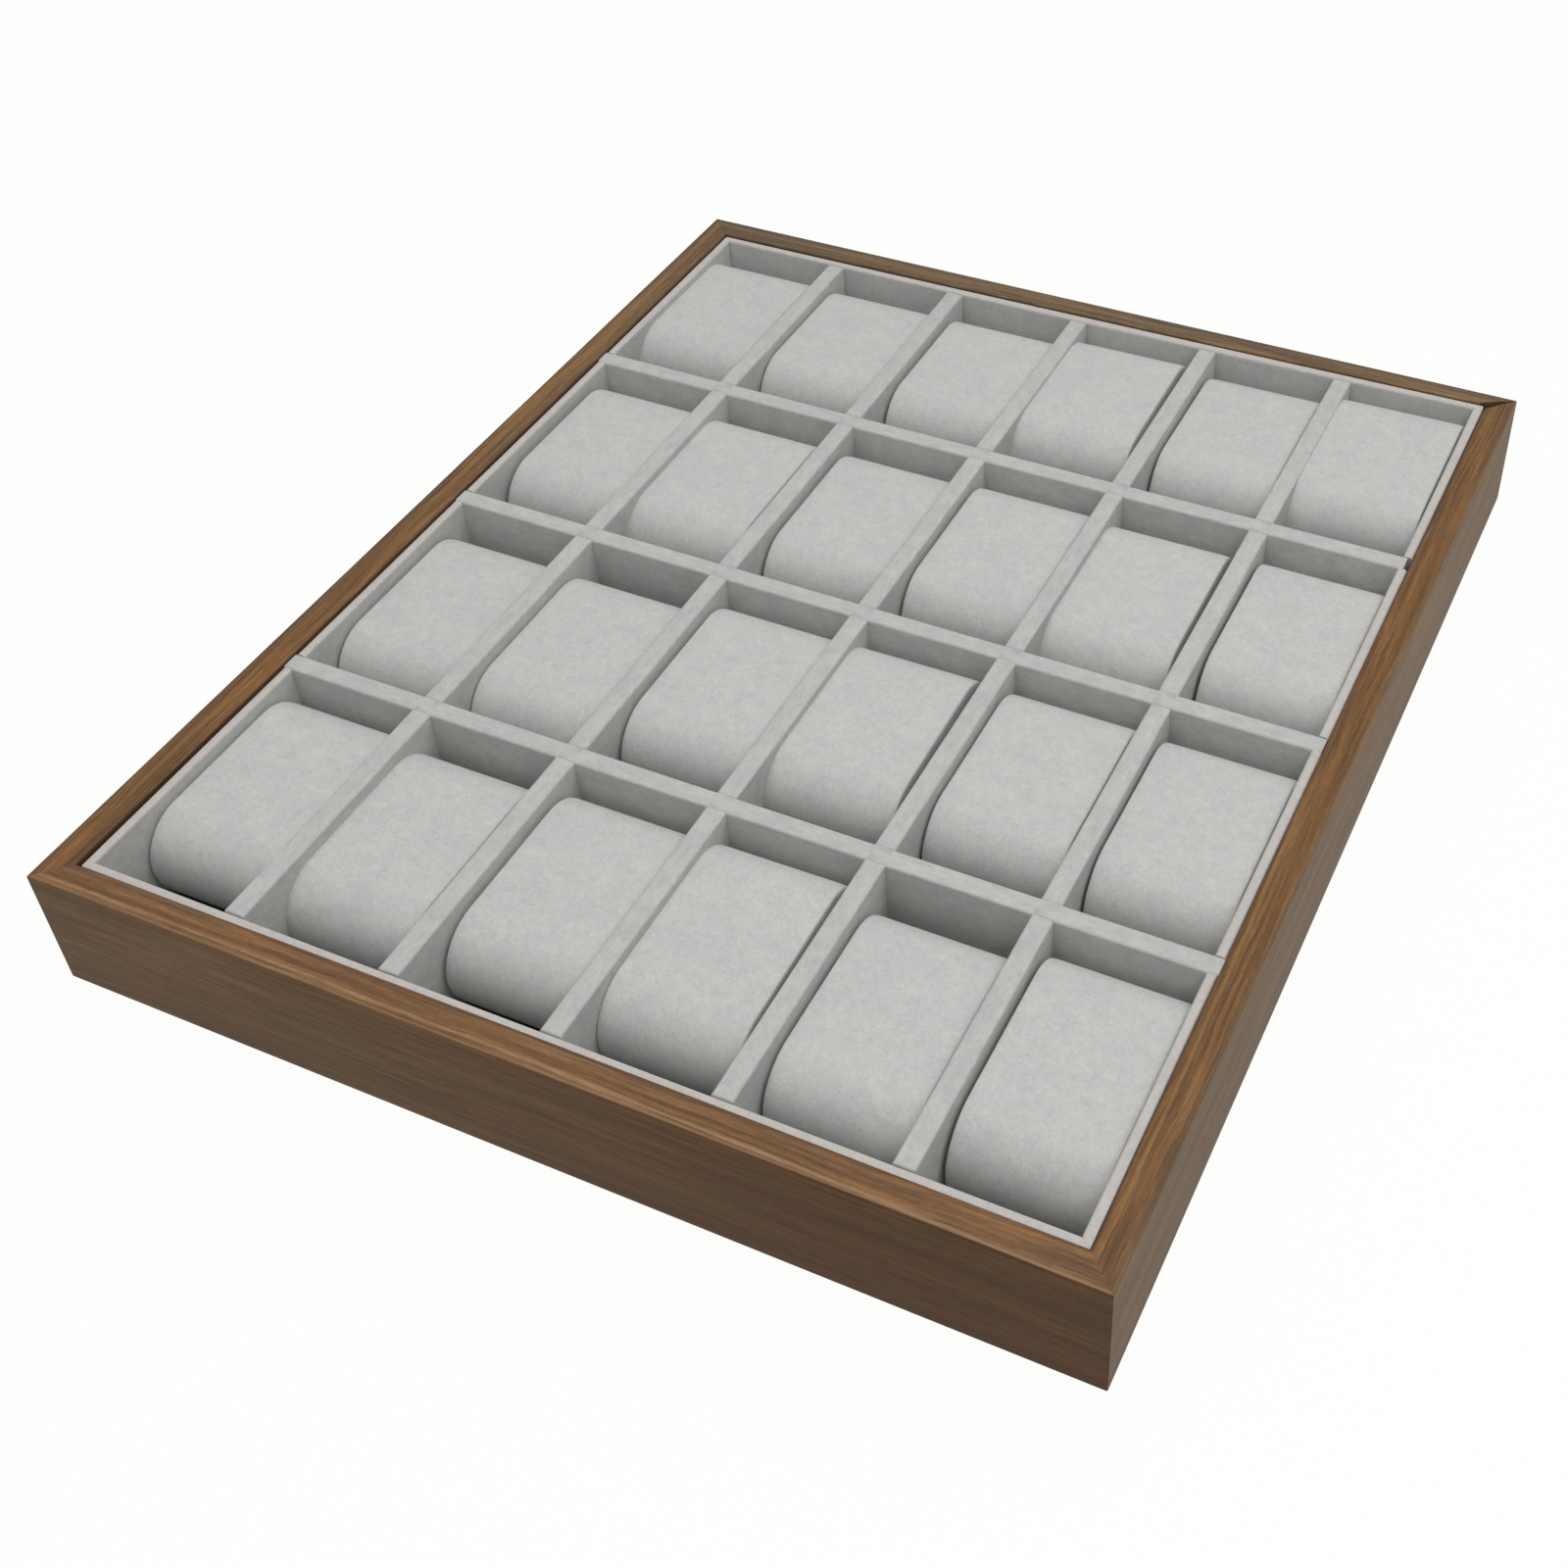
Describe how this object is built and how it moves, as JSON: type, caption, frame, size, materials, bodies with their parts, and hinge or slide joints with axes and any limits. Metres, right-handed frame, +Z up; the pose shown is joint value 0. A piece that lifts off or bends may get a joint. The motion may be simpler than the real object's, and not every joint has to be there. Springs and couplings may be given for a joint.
{
  "type": "watch display tray",
  "caption": "Open wooden tray with a fabric lattice of cells, each holding a loose oblong watch cushion.",
  "frame": {"origin": "middle of the underside, on the surface that the tray stands on", "axes": "+X to the right along the front rail, +Y from the front rail to the back rail, +Z up"},
  "size_m": [0.35, 0.422, 0.046],
  "materials": {
    "walnut_veneer": "straight grained walnut veneer, satin",
    "base_panel": "plain panel, matt",
    "lining_board": "thin board wrapped in light grey suede like microfibre",
    "divider_cloth": "divider board wrapped in light grey suede like microfibre",
    "cushion_cloth": "padded cushion in light grey suede like microfibre"
  },
  "bodies": {
    "root": {"front_rail": "walnut_veneer", "right_rail": "walnut_veneer", "back_rail": "walnut_veneer", "left_rail": "walnut_veneer", "base_panel": "base_panel", "floor_lining": "lining_board", "front_liner": "lining_board", "right_liner": "lining_board", "back_liner": "lining_board", "left_liner": "lining_board", "row_divider_1": "divider_cloth", "row_divider_2": "divider_cloth", "row_divider_3": "divider_cloth", "column_divider_1": "divider_cloth", "column_divider_2": "divider_cloth", "column_divider_3": "divider_cloth", "column_divider_4": "divider_cloth", "column_divider_5": "divider_cloth", "cushion_row1_column1": "cushion_cloth", "cushion_row1_column2": "cushion_cloth", "cushion_row1_column3": "cushion_cloth", "cushion_row1_column4": "cushion_cloth", "cushion_row1_column5": "cushion_cloth", "cushion_row1_column6": "cushion_cloth", "cushion_row2_column1": "cushion_cloth", "cushion_row2_column2": "cushion_cloth", "cushion_row2_column3": "cushion_cloth", "cushion_row2_column4": "cushion_cloth", "cushion_row2_column5": "cushion_cloth", "cushion_row2_column6": "cushion_cloth", "cushion_row3_column1": "cushion_cloth", "cushion_row3_column2": "cushion_cloth", "cushion_row3_column3": "cushion_cloth", "cushion_row3_column4": "cushion_cloth", "cushion_row3_column5": "cushion_cloth", "cushion_row3_column6": "cushion_cloth", "cushion_row4_column1": "cushion_cloth", "cushion_row4_column2": "cushion_cloth", "cushion_row4_column3": "cushion_cloth", "cushion_row4_column4": "cushion_cloth", "cushion_row4_column5": "cushion_cloth", "cushion_row4_column6": "cushion_cloth"}
  },
  "joints": []
}
